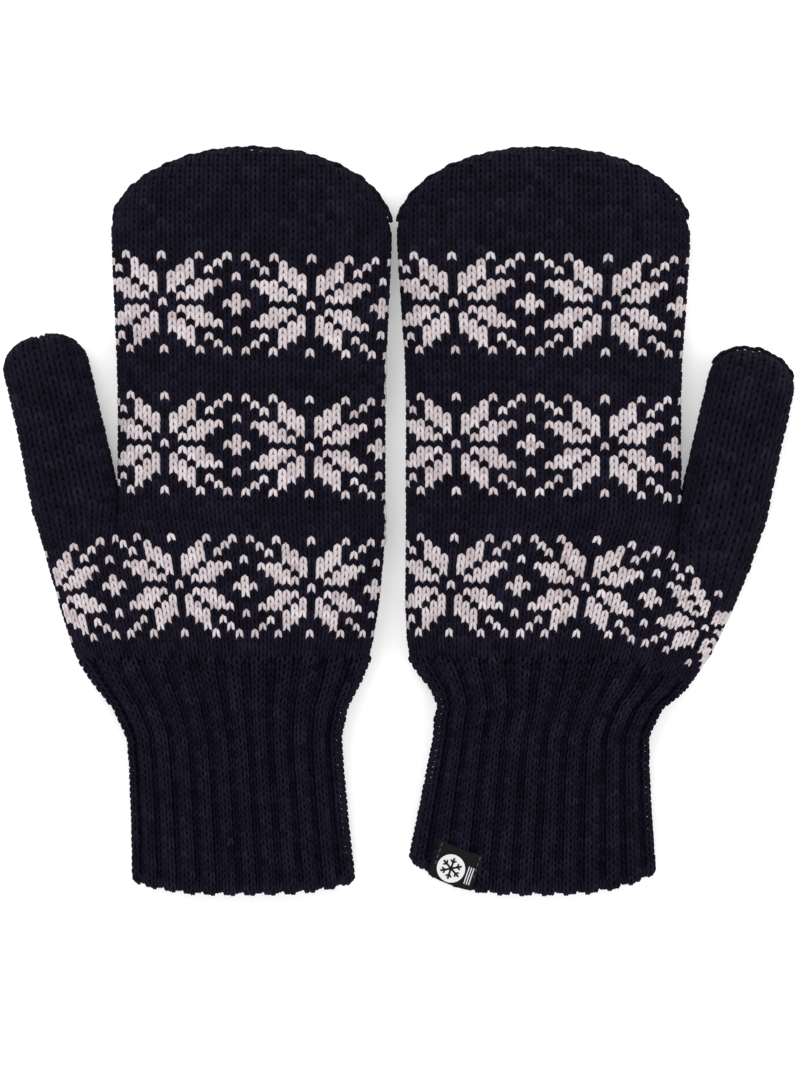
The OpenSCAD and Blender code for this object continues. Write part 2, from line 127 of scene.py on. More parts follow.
# One stitch: two legs, each a bent strand of yarn
STITCH = {
    "Foot spread": 1.2 * MM,
    "Head spread": 0.46 * MM,
    "Half height": 1.62 * MM,
    "Sink": 0.36 * MM,
    "Crown": 0.56 * MM,
    "Leg radius": 1.02 * MM,
}
RIB_STITCH = {
    "Half height": 1.36 * MM,
    "Leg radius": 0.96 * MM,
    "Crown": 0.95 * MM,
    "Foot spread": 1.35 * MM,
}
LEG_SIDES = 6
LEG_RINGS = 4
# a leg's thickness along it: at its foot and its head, then at two places between them
TAPER = ((0, 0.68), (1, 0.8), (0.34, 0.94), (0.68, 1.0))

LABEL_TILT = math.radians(19)

# One repeat of the star-flower, by rows out from its centre row: X is the pale yarn
REPEAT = 16
FLOWER_COLUMN = 6
FLOWER = [
    "XX......X......X",
    "X...XXX...XXX...",
    "...XXX.X.X.XXX..",
    "..XXX.XX.XX.XXX.",
    "X....XXX.XXX....",
    "...X.XX...XX.X..",
    "..X..X.....X..X.",
    ".X..X...X...X..X",
]


# ---- Meshes and node trees ----


def new_piece(name, mesh):
    piece = bpy.data.objects.new(name, mesh)
    bpy.context.scene.collection.objects.link(piece)
    return piece


def new_solid(name, verts, faces, material, smooth=False):
    """A closed mesh with its faces turned outwards."""
    mesh = bpy.data.meshes.new(name)
    mesh.from_pydata(verts, [], faces)
    work = bmesh.new()
    work.from_mesh(mesh)
    bmesh.ops.recalc_face_normals(work, faces=work.faces)
    work.to_mesh(mesh)
    work.free()
    mesh.materials.append(material)
    mesh.polygons.foreach_set("use_smooth", [smooth] * len(mesh.polygons))
    return new_piece(name, mesh)


def add_node(tree, kind, inputs=(), **settings):
    """A node with its settings; every input is a value or another node's socket."""
    node = tree.nodes.new(kind)
    for label, value in settings.items():
        setattr(node, label, value)
    for label, value in dict(inputs).items():
        if isinstance(value, bpy.types.NodeSocket):
            tree.links.new(value, node.inputs[label])
        else:
            node.inputs[label].default_value = value
    return node


def arithmetic(tree, operation, *terms):
    return add_node(tree, "ShaderNodeMath", enumerate(terms), operation=operation).outputs[0]


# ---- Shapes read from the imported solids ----


def mesh_edges(node):
    mesh = frame["nodes"][node].data
    points = np.empty(len(mesh.vertices) * 3)
    mesh.vertices.foreach_get("co", points)
    pairs = np.empty(len(mesh.edges) * 2, int)
    mesh.edges.foreach_get("vertices", pairs)
    points = points.reshape(-1, 3)
    return points[pairs.reshape(-1, 2)]


def smoothstep(t):
    t = np.clip(t, 0, 1)
    return t * t * (3 - 2 * t)


class Outline:
    """How far a run of solids reaches to both sides and up, at any height along it."""

    def __init__(self, edges, across, along, step=0.5 * MM):
        u = edges @ across
        v = edges @ along
        z = edges[:, :, 2]
        self.low, self.high = v.min(), v.max()
        heights, reach = [], []
        for at in np.arange(self.low + 0.1 * MM, self.high, step):
            side = v - at
            cut = (side[:, 0] * side[:, 1]) <= 0
            cut &= np.abs(v[:, 0] - v[:, 1]) > 1e-9
            if cut.sum() < 4:
                continue
            t = side[cut, 0] / (v[cut, 0] - v[cut, 1])
            x = u[cut, 0] + t * (u[cut, 1] - u[cut, 0])
            top = z[cut, 0] + t * (z[cut, 1] - z[cut, 0])
            heights.append(at)
            reach.append((x.min(), x.max(), top.max()))
        self.heights = np.array(heights)
        self.reach = np.array(reach)

    def at(self, height):
        return [np.interp(height, self.heights, self.reach[:, k]) for k in range(3)]


def half_section(low, high, thickness, top, count=220):
    """One half of a flattened tube's section, as points (x, z) from the thumb's edge."""
    angle = np.linspace(0, math.pi, count)
    c, s = np.cos(angle), np.sin(angle)
    power = CROWN_POWER if top else BASE_POWER
    x = (low + high) / 2 + (high - low) / 2 * np.sign(c) * np.abs(c) ** (2 / power)
    bulge = np.abs(s) ** (2 / power)
    if top:
        z = thickness * (EDGE_HEIGHT + (1 - EDGE_HEIGHT) * bulge)
    else:
        z = thickness * EDGE_HEIGHT * (1 - np.minimum(1, BASE_FLATNESS * bulge))
    return np.stack([x, z], 1)


def lengths(points):
    steps = np.linalg.norm(np.diff(points, axis=0), axis=1)
    return np.concatenate([[0], np.cumsum(steps)])


def spread(points, shares):
    """Points at these shares of the length of a line of points."""
    along = lengths(points)
    along = along / along[-1]
    return np.stack([np.interp(shares, along, points[:, k]) for k in range(points.shape[1])], 1)


DENSE = np.linspace(0, 1, 241)


class Mitten:
    """The surface of one mitten, as loops of points for any row of each part."""

    def __init__(self, side):
        self.side = side
        self.out = -1 if side == "left" else 1
        fold = joints[side + "_finger_fold"]["pos_m"]
        self.origin = np.array([fold[0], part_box(side + "_cuff_hem")[0].y, 0])
        self.crotch = fold[1] - self.origin[1]
        self.rib_top = joints[side + "_cuff_fold"]["pos_m"][1] - self.origin[1]
        x_axis, y_axis = np.array([1.0, 0, 0]), np.array([0, 1.0, 0])
        body = [self.local(mesh_edges(f"{side}_{n}")) for n in ("cuff_hem", "cuff", "palm", "fingers")]
        self.body = Outline(np.concatenate(body), x_axis, y_axis)
        self.hand = Outline(body[3], x_axis, y_axis)
        hem = body[0].reshape(-1, 3)
        self.rise = []
        for end in (hem[:, 0].min(), hem[:, 0].max()):
            self.rise.append(hem[np.abs(hem[:, 0] - end) < 0.6 * MM, 1].min())
        self.hand_edges = self.hand.at(self.crotch + 1 * MM)[:2]
        self.tip_low = self.hand.high - TIP_DOME
        # the thumb's own directions
        base = joints[side + "_thumb_fold"]
        lean = math.atan2(abs(base["axis"][1]), base["axis"][0])
        self.across = np.array([math.cos(lean), -math.sin(lean), 0])
        self.along = np.array([math.sin(lean), math.cos(lean), 0])
        self.base = self.local(np.array([[base["pos_m"]]]))[0, 0] * [1, 1, 0]
        thumb = self.local(mesh_edges(side + "_thumb")) - self.base
        self.thumb = Outline(thumb, self.across, self.along)
        corner = self.base + self.across * self.thumb.at(0.3 * MM)[1]
        self.corner = corner[:2]
        self.tip_table = self.dome_table(self.hand, self.tip_low)
        self.thumb_dome_low = self.thumb.high - THUMB_DOME
        self.thumb_table = self.dome_table(self.thumb, 0)
        self.tilt = math.tan(math.radians(COURSE_TILT[side]))

    def local(self, points):
        moved = points - self.origin
        return moved * [self.out, 1, 1]

    def world(self, points):
        return points * [self.out, 1, 1] + self.origin

    def turned(self, directions):
        return directions * [self.out, 1, 1]

    # -- shape --

    def dome_table(self, outline, low):
        """Length along the middle of the front, from low up over the dome, against height."""
        heights = low + (outline.high - 0.15 * MM - low) * np.sin(np.linspace(0, math.pi / 2, 120))
        tops = outline.at(heights)[2]
        walk = lengths(np.stack([heights, tops], 1))
        return walk, heights

    def relief(self, points):
        """Soft unevenness of the front, and puckers where the ribs end."""
        # lengths here are in mm, and the puckers fade 9 mm from the end of the ribs
        x, y = points[:, 0] / MM, points[:, 1] / MM
        wave = 0.45 * np.sin(x / 17 + y / 23 + 1.3) + 0.35 * np.sin(x / 9.5 - y / 31 + self.out)
        wave += 0.3 * np.sin(x / 27 - y / 12.5 + 2.1 * self.out)
        rib_top = self.rib_top / MM
        near = np.exp(-((y - rib_top - 2) / 9) ** 2)
        pucker = near * (np.sin(x / 1.9 + 0.5 * np.sin(y / 7)) * 0.35 + np.sin(x / 4.7 + 1.1) * 0.6)
        up = smoothstep((points[:, 2] / MM - 10) / 8)
        points[:, 2] += up * (0.55 * MM * wave + PUCKER * pucker)
        return points

    def settled(self, points, own_thumb):
        """Courses hang lower towards the thumb, and the palm sags a little over the cuff."""
        x, y = points[:, 0], points[:, 1]
        # the full drop starts 21 mm from the centre line, and fades below and above, in mm
        beyond = np.maximum(0, x / MM - 21)
        fall = (0.13 * beyond + 0.0037 * beyond**2) * MM * DROOP[self.side]
        fall *= smoothstep((y / MM - 50) / 45)
        hand_end = 1 - smoothstep((y / MM - 118) / 45)
        thumb_end = 1 - smoothstep((y / MM - 128) / 62)
        fall *= np.where(own_thumb, thumb_end, hand_end)
        limit = self.corner[1] - 0.6 * MM
        # above the palm's corner the outer edge follows the leaning thumb
        lean = np.where(own_thumb, self.along[0] / self.along[1], 0)
        high = self.body.at(np.minimum(y, limit))[1] + lean * np.maximum(0, y - limit)
        lower = self.body.at(np.minimum(y - fall, limit))[1] + lean * np.maximum(0, y - fall - limit)
        points[:, 0] += (lower - high) * np.clip(x / high, 0, 1) * ((y < self.crotch) | own_thumb)
        points[:, 1] -= fall
        left, right, _ = self.body.at(np.minimum(points[:, 1], limit))
        side = np.clip((points[:, 0] * 2 - left - right) / (right - left), -1, 1)
        height = points[:, 1] / MM
        points[:, 0] += BLOUSE[self.side] * side**2 * np.exp(-(((height - 76) / 7) ** 2))
        return points

    def finished(self, points):
        """A loop after the tilt of its courses and the unevenness."""
        y = points[:, 1]
        fade = smoothstep((y - self.rib_top) / (25 * MM)) * smoothstep((self.hand.high - y) / (45 * MM))
        points[:, 1] += self.tilt * fade * points[:, 0] * -self.out
        return self.relief(points)

    def finger_loop(self, row):
        """Rows counted from the thumb's crotch."""
        y = self.crotch + row * ROW_PITCH
        pitch = None
        if row > TUBE_ROWS:
            walk, heights = self.tip_table
            tube = self.crotch + TUBE_ROWS * ROW_PITCH
            straight = self.tip_low - tube
            total = straight + walk[-1]
            gone = min((row - TUBE_ROWS) / TIP_ROWS, 0.999) * total
            y = tube + gone if gone < straight else np.interp(gone - straight, walk, heights)
        low, high, top = self.hand.at(np.clip(y, self.crotch + 0.5 * MM, self.hand.high))
        front = half_section(low, high, top, True)
        back = half_section(low, high, top, False)[::-1]
        if y > self.tip_low:
            wide_low, wide_high, wide_top = self.hand.at(self.tip_low)
            pitch = [
                lengths(half_section(wide_low, wide_high, wide_top, is_top))[-1] / HAND_COLUMNS
                for is_top in (True, False)
            ]
        return self.loop(front, back, y, 0, HAND_ROUND, pitch)

    def loop(self, front, back, y, start, end, pitch=None):
        """Columns against points, from a front and a back half; a pitch keeps the columns' width."""
        half = (end - start) / 2
        parts, columns = [], []
        for k, points in enumerate((front, back)):
            points = spread(points, DENSE)
            middle = start + half * (k + 0.5)
            if pitch is None:
                place = middle + half * (DENSE - 0.5)
            else:
                walk = lengths(points)
                place = middle + (walk - walk[-1] / 2) / pitch[k]
            parts.append(points)
            columns.append(place)
        x, z = np.concatenate(parts).T
        points = np.stack([x, np.full(len(x), y), z], 1)
        return np.concatenate(columns), self.finished(self.settled(points, False))

    def palm_loop(self, row):
        """Rows counted from the ribbing; hand columns from 0 to 64, the thumb's outside them."""
        t = row / PALM_ROWS
        left_y = self.rib_top + t * (self.crotch - self.rib_top)
        right_y = self.rib_top + t * (self.corner[1] - self.rib_top)
        low = self.body.at(left_y)[0]
        high = self.body.at(min(right_y, self.corner[1] - 0.6 * MM))[1]
        top = self.hand.at(self.crotch + 1 * MM)[2]
        thumb_top = self.thumb.at(1 * MM)[2]
        share = THUMB_COLUMNS / PALM_COLUMNS
        split = float(smoothstep(1 - (self.crotch - left_y) / SPLIT_LENGTH))
        parts, columns = [], []
        merged_front = spread(half_section(low, high, top, True), DENSE)
        merged_back = spread(half_section(low, high, top, False)[::-1], DENSE)
        kink = np.interp(share, DENSE, merged_front[:, 0])
        kink += (self.hand_edges[1] - kink) * smoothstep(t)
        for is_top, merged in ((True, merged_front), (False, merged_back)):
            hand = half_section(low, kink, top, is_top)
            thumb = half_section(kink, high, thumb_top, is_top)
            if not is_top:
                hand, thumb = hand[::-1], thumb[::-1]
            hand, thumb = spread(hand, DENSE), spread(thumb, DENSE)
            if is_top:
                spots = np.concatenate([DENSE * share, share + DENSE * (1 - share)])
                own = np.concatenate([thumb, hand])
                place = -THUMB_COLUMNS + spots * PALM_COLUMNS
            else:
                spots = np.concatenate([DENSE * (1 - share), 1 - share + DENSE * share])
                own = np.concatenate([hand, thumb])
                place = HAND_COLUMNS + spots * PALM_COLUMNS
            whole = np.stack([np.interp(spots, DENSE, merged[:, k]) for k in range(2)], 1)
            parts.append(whole + (own - whole) * split)
            columns.append(place)
        x, z = np.concatenate(parts).T
        drop = np.clip((x - self.hand_edges[1]) / max(high - self.hand_edges[1], 1 * MM), 0, 1)
        y = left_y + (right_y - left_y) * drop
        columns = np.concatenate(columns)
        own_thumb = (columns < 0) | (columns > HAND_ROUND)
        return columns, self.finished(self.settled(np.stack([x, y, z], 1), own_thumb))

    def thumb_loop(self, row):
        """Rows counted along the thumb from its base."""
        walk, heights = self.thumb_table
        gone = min(row / THUMB_ROWS, 0.999) * walk[-1]
        y = np.interp(gone, walk, heights)
        low, high, top = self.thumb.at(max(y, 0.4 * MM))
        front = spread(half_section(low, high, top, True), DENSE)
        back = spread(half_section(low, high, top, False)[::-1], DENSE)
        columns = []
        wide = self.thumb.at(min(y, self.thumb_dome_low))
        for k, points in enumerate((front, back)):
            middle = -THUMB_COLUMNS / 2 if k == 0 else HAND_ROUND + THUMB_COLUMNS / 2
            along = lengths(points)
            pitch = lengths(half_section(wide[0], wide[1], wide[2], k == 0))[-1] / THUMB_COLUMNS
            columns.append(middle + (along - along[-1] / 2) / pitch)
        flat = np.concatenate([front, back])
        points = self.base + flat[:, :1] * self.across + y * self.along
        points[:, 2] = flat[:, 1]
        return np.concatenate(columns), self.finished(self.settled(points, True))

    def cuff_loop(self, row):
        """Rows counted from the hem; one rib is one unit of the columns."""
        y = row / RIB_ROWS * self.rib_top
        curl = max(0, 1 - y / WRIST_HEIGHT)
        low = self.body.at(max(y, 0) + self.rise[0] * curl)[0]
        high = self.body.at(max(y, 0) + self.rise[1] * curl)[1]
        top = self.body.at(max(y, 2 * MM))[2]
        front = spread(half_section(low, high, top, True), DENSE)
        back = spread(half_section(low, high, top, False)[::-1], DENSE)
        x, z = np.concatenate([front, back]).T
        s = (x - (low + high) / 2) / ((high - low) / 2)
        rise = np.where(s < 0, self.rise[0], self.rise[1])
        rows = y + rise * np.abs(s) ** 3 * curl
        columns = np.concatenate([DENSE * RIBS, RIBS + DENSE * RIBS])
        rows = rows - SCALLOP * np.cos(2 * math.pi * (columns - RIDGE)) * max(0, 1 - row / 4)
        return columns, self.finished(self.settled(np.stack([x, rows, z], 1), False))


# ---- Stitches on the surface ----



def at_columns(table, columns):
    return np.stack([np.interp(columns, table[0], table[1][:, k]) for k in range(3)], 1)


def stitch_frames(mitten, loop, row, columns, reach=0.4):
    """Places, directions and sizes of the stitches of one row."""
    here, below, above = loop(row), loop(row - reach), loop(row + reach)
    place = at_columns(here, columns)
    course = (at_columns(here, columns + reach) - at_columns(here, columns - reach)) / (2 * reach)
    wale = (at_columns(above, columns) - at_columns(below, columns)) / (2 * reach)
    place, course, wale = mitten.world(place), mitten.turned(course), mitten.turned(wale)
    return place, course * -mitten.out, wale


def unit(v):
    return v / np.maximum(np.linalg.norm(v, axis=1, keepdims=True), 1e-12)


class Stitches:
    """A growing list of stitches that become one piece."""

    def __init__(self):
        self.rows = []

    def add(self, place, course, wale, depth=YARN_DEPTH, size=1.0, roll=0.0, turn=0.0):
        """Stitches that follow the wale's slant; roll turns them about it, turn in the surface."""
        up = unit(wale)
        normal = unit(np.cross(unit(course), up))
        across = unit(np.cross(up, normal))
        width = np.linalg.norm(course, axis=1) / COLUMN_PITCH
        height = np.linalg.norm(wale, axis=1) / ROW_PITCH
        place = place - normal * depth
        c, s = math.cos(roll), math.sin(roll)
        across, normal = across * c - normal * s, across * s + normal * c
        c, s = math.cos(turn), math.sin(turn)
        across, up = across * c + up * s, up * c - across * s
        scale = np.stack([width, height, np.sqrt(width * height)], 1) * size
        self.rows.append((place, across, up, normal, scale))


def euler_angles(x, y, z):
    """Turns that carry the axes onto the directions x, y and z."""
    lean = -np.arcsin(np.clip(x[:, 2], -1, 1))
    return np.stack([np.arctan2(y[:, 2], z[:, 2]), lean, np.arctan2(x[:, 1], x[:, 0])], 1)


def stitch_tree():
    """Knit stitches on points: two tapered legs that meet at the top and spread below."""
    tree = bpy.data.node_groups.new("Knit stitch", "GeometryNodeTree")
    tree.is_modifier = True
    face = tree.interface
    face.new_socket("Geometry", in_out="INPUT", socket_type="NodeSocketGeometry")
    for label, value in STITCH.items():
        face.new_socket(label, in_out="INPUT", socket_type="NodeSocketFloat").default_value = value
    face.new_socket("Yarn", in_out="INPUT", socket_type="NodeSocketMaterial")
    face.new_socket("Geometry", in_out="OUTPUT", socket_type="NodeSocketGeometry")
    given = tree.nodes.new("NodeGroupInput").outputs

    def times(socket, k):
        return arithmetic(tree, "MULTIPLY", socket, k)

    def point(*sockets):
        return add_node(tree, "ShaderNodeCombineXYZ", enumerate(sockets)).outputs[0]

    def attribute(label):
        kind = "GeometryNodeInputNamedAttribute"
        node = add_node(tree, kind, {"Name": label}, data_type="FLOAT_VECTOR")
        return node.outputs["Attribute"]

    foot, head, half = given["Foot spread"], given["Head spread"], given["Half height"]
    sink, crown = given["Sink"], given["Crown"]
    ring = {"Resolution": LEG_SIDES, "Radius": given["Leg radius"]}
    circle = add_node(tree, "GeometryNodeCurvePrimitiveCircle", ring)
    join = tree.nodes.new("GeometryNodeJoinGeometry")
    for way in (1, -1):
        shoulder = arithmetic(tree, "ADD", times(head, way), times(foot, 0.26 * way))
        bends = {
            "Resolution": LEG_RINGS - 1,
            "Start": point(times(foot, way), times(half, -1), times(sink, -1)),
            "Start Handle": point(times(foot, 0.86 * way), times(half, -0.3), times(crown, 1.7)),
            "End Handle": point(shoulder, times(half, 0.65), times(crown, 1.5)),
            "End": point(times(head, way), times(half, 0.92), times(sink, -0.35)),
        }
        bezier = add_node(tree, "GeometryNodeCurvePrimitiveBezierSegment", bends)
        along = tree.nodes.new("GeometryNodeSplineParameter").outputs["Factor"]
        taper = add_node(tree, "ShaderNodeFloatCurve", {"Value": along})
        curve = taper.mapping.curves[0]
        curve.points[0].location = TAPER[0]
        curve.points[1].location = TAPER[1]
        for spot in TAPER[2:]:
            curve.points.new(*spot)
        taper.mapping.update()
        strand = {
            "Curve": bezier.outputs["Curve"],
            "Profile Curve": circle.outputs["Curve"],
            "Scale": taper.outputs[0],
            "Fill Caps": True,
        }
        leg = add_node(tree, "GeometryNodeCurveToMesh", strand)
        tree.links.new(leg.outputs["Mesh"], join.inputs["Geometry"])
    turn = add_node(tree, "FunctionNodeEulerToRotation", {0: attribute("facing")})
    spots = {
        "Points": given["Geometry"],
        "Instance": join.outputs["Geometry"],
        "Rotation": turn.outputs[0],
        "Scale": attribute("stretch"),
    }
    put = add_node(tree, "GeometryNodeInstanceOnPoints", spots)
    real = add_node(tree, "GeometryNodeRealizeInstances", {"Geometry": put.outputs["Instances"]})
    smooth = add_node(tree, "GeometryNodeSetShadeSmooth", {"Geometry": real.outputs["Geometry"]})
    painted = {"Geometry": smooth.outputs["Geometry"], "Material": given["Yarn"]}
    paint = add_node(tree, "GeometryNodeSetMaterial", painted)
    add_node(tree, "NodeGroupOutput", {"Geometry": paint.outputs["Geometry"]})
    return tree


TREE = stitch_tree()
SOCKETS = {item.name: item.identifier for item in TREE.interface.items_tree if item.in_out == "INPUT"}
random_source = np.random.default_rng(11)


def make_stitches(name, stitches, yarn, sizes=None):
    """One plain mesh of all the stitches of a piece, with its yarn map and its bake map."""
    place, across, up, normal, scale = (np.concatenate(part) for part in zip(*stitches.rows))
    count = len(place)
    shift = random_source.normal(0, 1, (count, 3)) * [0.05 * MM, 0.05 * MM, 0.06 * MM]
    place = place + across * shift[:, :1] + up * shift[:, 1:2] + normal * shift[:, 2:]
    swing = random_source.normal(0, 0.035, count)[:, None]
    c, s = np.cos(swing), np.sin(swing)
    across, up = across * c + up * s, up * c - across * s
    scale = scale * (1 + random_source.normal(0, 0.03, (count, 1)))
    points = bpy.data.meshes.new(name + "_points")
    points.vertices.add(count)
    points.vertices.foreach_set("co", place.ravel())
    for label, values in (("facing", euler_angles(across, up, normal)), ("stretch", scale)):
        attribute = points.attributes.new(label, "FLOAT_VECTOR", "POINT")
        attribute.data.foreach_set("vector", values.ravel())
    holder = new_piece(name, points)
    modifier = holder.modifiers.new("stitches", "NODES")
    modifier.node_group = TREE
    modifier[SOCKETS["Yarn"]] = yarn
    for label, value in (sizes or {}).items():
        modifier[SOCKETS[label]] = value
    holder.update_tag()
    graph = bpy.context.evaluated_depsgraph_get()
    mesh = bpy.data.meshes.new_from_object(holder.evaluated_get(graph))
    holder.modifiers.clear()
    holder.data = mesh
    mesh.name = name
    bpy.data.meshes.remove(points)
    for label in ("facing", "stretch"):
        if label in mesh.attributes:
            mesh.attributes.remove(mesh.attributes[label])
    settle_on_floor(mesh)
    yarn_maps(mesh, count)
    if not mesh.materials or mesh.materials[0] is None:
        mesh.materials.clear()
        mesh.materials.append(yarn)
    return holder


def settle_on_floor(mesh):
    """Stitches that hang below the surface the mittens lie on are pressed up to it."""
    spots = np.empty(len(mesh.vertices) * 3)
    mesh.vertices.foreach_get("co", spots)
    height = spots[2::3]
    spots[2::3] = np.where(height < 0, -PRESS * np.tanh(-height / PRESS), height)
    mesh.vertices.foreach_set("co", spots)
    mesh.update()


def yarn_maps(mesh, count):
    """Unrolls every leg into its stitch's own cell, and keeps the length and turn along the yarn."""
    corners = len(mesh.loops) // count
    points = len(mesh.vertices) // count
    faces = len(mesh.polygons) // count
    vertex = np.empty(len(mesh.loops), int)
    mesh.loops.foreach_get("vertex_index", vertex)
    starts = np.empty(len(mesh.polygons), int)
    mesh.polygons.foreach_get("loop_start", starts)
    # every stitch has the same faces, so the first one's corners stand for all
    first = vertex[:corners]
    one_leg = points // 2
    ring, side, leg = (first % one_leg) // LEG_SIDES, (first % one_leg) % LEG_SIDES, first // one_leg
    u, v = side.astype(float), ring.astype(float)
    starts = np.append(starts[:faces], corners)
    for a, b in zip(starts[:-1], starts[1:]):
        around = side[a:b]
        if b - a == 4 and around.max() == LEG_SIDES - 1 and around.min() == 0:
            u[a:b][around == 0] = LEG_SIDES
        if b - a > 4:
            angle = 2 * math.pi * around / LEG_SIDES
            u[a:b] = LEG_SIDES / 2 + 0.5 * np.cos(angle)
            v[a:b] = ring[a:b] + (0.25 if ring[a] else -0.25) + 0.2 * np.sin(angle)
    u, v = u / LEG_SIDES, (v + 0.5) / LEG_RINGS
    yarn = np.stack([v, u + 3 * leg], 1)
    layer = mesh.uv_layers.new(name="yarn")
    layer.data.foreach_set("uv", np.tile(yarn, (count, 1)).astype(np.float32).ravel())
    cell = np.stack([(leg + 0.04 + 0.92 * u) / 2, 0.04 + 0.92 * v], 1)
    across = math.ceil(math.sqrt(count * 1.2))
    down = math.ceil(count / across)
    index = np.arange(count)
    corner = np.stack([index % across, index // across], 1)
    bake = (np.repeat(corner, corners, axis=0) + np.tile(cell, (count, 1))) / [across, down]
    layer = mesh.uv_layers.new(name="OFBake")
    layer.data.foreach_set("uv", bake.astype(np.float32).ravel())
    tone = random_source.normal(0, 1, count)
    attribute = mesh.attributes.new("tone", "FLOAT", "POINT")
    attribute.data.foreach_set("value", np.repeat(tone, points).astype(np.float32))


# ---- Materials ----


def new_material(name, values):
    material = bpy.data.materials.new(name)
    material.use_nodes = True
    shader = material.node_tree.nodes["Principled BSDF"]
    for label, value in values.items():
        shader.inputs[label].default_value = value
    return material, material.node_tree, shader


def object_place(tree):
    return tree.nodes.new("ShaderNodeTexCoord").outputs["Object"]


def noise(tree, place, scale, detail=2):
    inputs = {"Scale": scale, "Detail": detail, "Vector": place}
    return add_node(tree, "ShaderNodeTexNoise", inputs).outputs["Fac"]


def add_bump(tree, shader, height, strength, distance):
    inputs = {"Strength": strength, "Distance": distance, "Height": height}
    bump = add_node(tree, "ShaderNodeBump", inputs)
    tree.links.new(bump.outputs[0], shader.inputs["Normal"])


def add_colours(tree, shader, factor, stops):
    """Colours the shader by a ramp through stops of a position and a colour."""
    ramp = add_node(tree, "ShaderNodeValToRGB", {0: factor})
    elements = ramp.color_ramp.elements
    for k, (position, colour) in enumerate((stops[0], stops[-1])):
        elements[k].position = position
        elements[k].color = (*colour, 1)
    for position, colour in stops[1:-1]:
        elements.new(position).color = (*colour, 1)
    tree.links.new(ramp.outputs[0], shader.inputs["Base Color"])


def yarn_material(name, base, deep, light, sheen, gloss):
    """Plied wool: a twist along every leg, fine fibres and a little change from stitch to stitch."""
    look = {
        "Roughness": 0.92,
        "Sheen Weight": sheen,
        "Sheen Roughness": 0.55,
        "Sheen Tint": (*light, 1),
        "Specular IOR Level": gloss,
    }
    material, tree, shader = new_material(name, look)
    yarn = add_node(tree, "ShaderNodeUVMap", uv_map="yarn")
    length, turn = add_node(tree, "ShaderNodeSeparateXYZ", {0: yarn.outputs[0]}).outputs[:2]
    # three plies wind about three times round each leg
    wound = arithmetic(tree, "MULTIPLY_ADD", length, 3.2, turn)
    ply = arithmetic(tree, "SINE", arithmetic(tree, "MULTIPLY", wound, 3 * 2 * math.pi))
    place = object_place(tree)
    fibre = noise(tree, place, 2600, 3)
    cloud = noise(tree, place, 90, 4)
    add_bump(tree, shader, arithmetic(tree, "MULTIPLY_ADD", ply, 0.5, fibre), 0.35, 0.35 * MM)
    tone = add_node(tree, "ShaderNodeAttribute", attribute_name="tone").outputs["Fac"]
    stitch = arithmetic(tree, "MULTIPLY_ADD", tone, 0.12, fibre)
    patch = arithmetic(tree, "MULTIPLY_ADD", cloud, 0.4, 0.3)
    # the sum lies around 1, and a ramp reads from 0 to 1, so half of it goes in
    half = arithmetic(tree, "MULTIPLY", arithmetic(tree, "ADD", stitch, patch), 0.5)
    add_colours(tree, shader, half, [(0.31, deep), (0.5, base), (0.69, light)])
    return material


def purl_material(name, base, light):
    """The inside of the knitting: rows of small purl bumps, with painted shade between the rows."""
    material, tree, shader = new_material(name, {"Roughness": 0.95, "Specular IOR Level": 0.05})
    place = object_place(tree)
    wave = {"Scale": 0.5 / ROW_PITCH / 3.14, "Distortion": 2.5, "Detail Scale": 3, "Vector": place}
    rows = add_node(tree, "ShaderNodeTexWave", wave, bands_direction="Y").outputs["Fac"]
    height = arithmetic(tree, "ADD", rows, noise(tree, place, 900))
    add_bump(tree, shader, height, 0.8, 0.6 * MM)
    # the colour follows the rows' wave: painted shade between the rows and a painted highlight on their
    # crests
    add_colours(tree, shader, rows, [(0, base), (1, light)])
    return material


def tape_material(name, base, light, roughness=0.75):
    """Woven tape: fine warp and weft threads, with painted shade where the threads dip."""
    look = {"Roughness": roughness, "Specular IOR Level": 0.12}
    material, tree, shader = new_material(name, look)
    turned = {"Vector": object_place(tree), "Rotation": (0, 0, LABEL_TILT)}
    lie = add_node(tree, "ShaderNodeMapping", turned)
    wave = {"Scale": 820, "Distortion": 0.6, "Vector": lie.outputs["Vector"]}
    threads = [
        add_node(tree, "ShaderNodeTexWave", wave, bands_direction=way).outputs["Fac"] for way in "XY"
    ]
    weave = arithmetic(tree, "MULTIPLY", *threads)
    add_bump(tree, shader, weave, 0.5, 0.15 * MM)
    # the colour follows the weave's height: painted shade between the threads and a painted highlight on the
    # raised ones
    add_colours(tree, shader, weave, [(0, base), (1, light)])
    return material


# the main colour, then the deeper and the lighter one around it
NAVY = yarn_material(
    "navy wool", (0.0062, 0.0052, 0.0115), (0.003, 0.0026, 0.0056), (0.0125, 0.011, 0.0225), 0.012, 0.06
)
RIB_NAVY = yarn_material(
    "navy rib wool", (0.0072, 0.0062, 0.0142), (0.0035, 0.003, 0.0068), (0.0142, 0.0125, 0.0265), 0.015, 0.06
)
CREAM = yarn_material(
    "cream wool", (0.52, 0.458, 0.474), (0.39, 0.325, 0.338), (0.63, 0.575, 0.594), 0.04, 0.2
)
INSIDE = purl_material("purl inside", (0.0048, 0.0042, 0.0092), (0.0105, 0.0092, 0.0195))
TAPE = tape_material("black label tape", (0.0022, 0.0022, 0.0024), (0.0085, 0.0085, 0.009))
MARK = tape_material("white mark thread", (0.55, 0.55, 0.56), (0.85, 0.85, 0.87), 0.6)
THREAD = tape_material("label stitching thread", (0.04, 0.04, 0.045), (0.12, 0.12, 0.13), 0.5)


# ---- Building the pieces ----


def is_pale(band_row, chart_column):
    """Whether the stitch at a band's row, 0 to 14, and a column of the chart is pale."""
    out = np.abs(band_row - BAND_ROWS // 2)
    step = (chart_column - FLOWER_COLUMN + REPEAT // 2) % REPEAT
    return np.array([FLOWER[out][k] == "X" for k in step])


